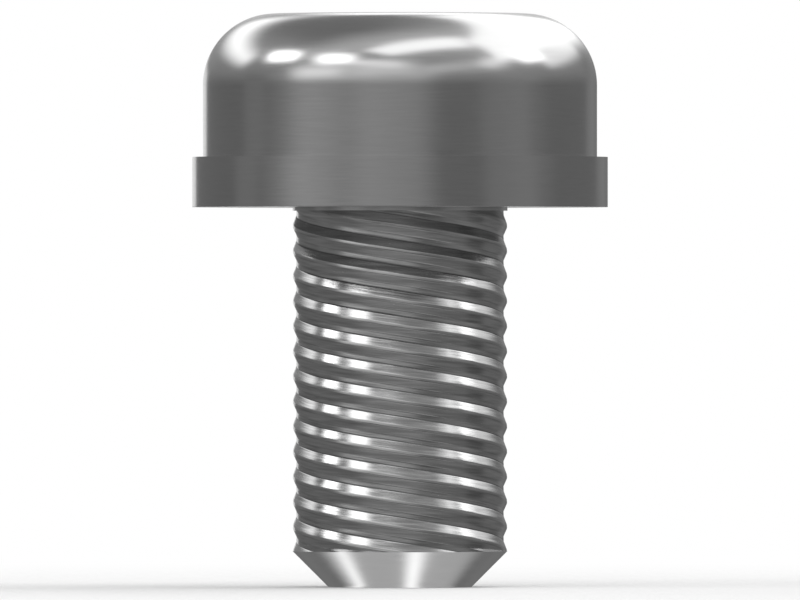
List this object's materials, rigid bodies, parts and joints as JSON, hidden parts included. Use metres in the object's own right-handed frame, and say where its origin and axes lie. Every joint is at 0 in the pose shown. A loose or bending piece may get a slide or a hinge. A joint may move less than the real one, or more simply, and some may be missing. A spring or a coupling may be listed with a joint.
{
  "type": "flanged machine screw",
  "caption": "Machine screw with a rounded cylindrical head, an integral flange, a hex socket, a multi-start thread and a bevelled tip.",
  "frame": {"origin": "centre of the tip's flat end, on which the screw stands", "axes": "+Z along the screw's axis, from the tip to the head"},
  "size_m": [0.0058, 0.0058, 0.008],
  "materials": {
    "bright_steel": "bright turned steel, polished at the head's rounding and satin on its straight side, with fine streaks along the rolled thread"
  },
  "bodies": {
    "root": {"screw": "bright_steel"}
  },
  "joints": []
}
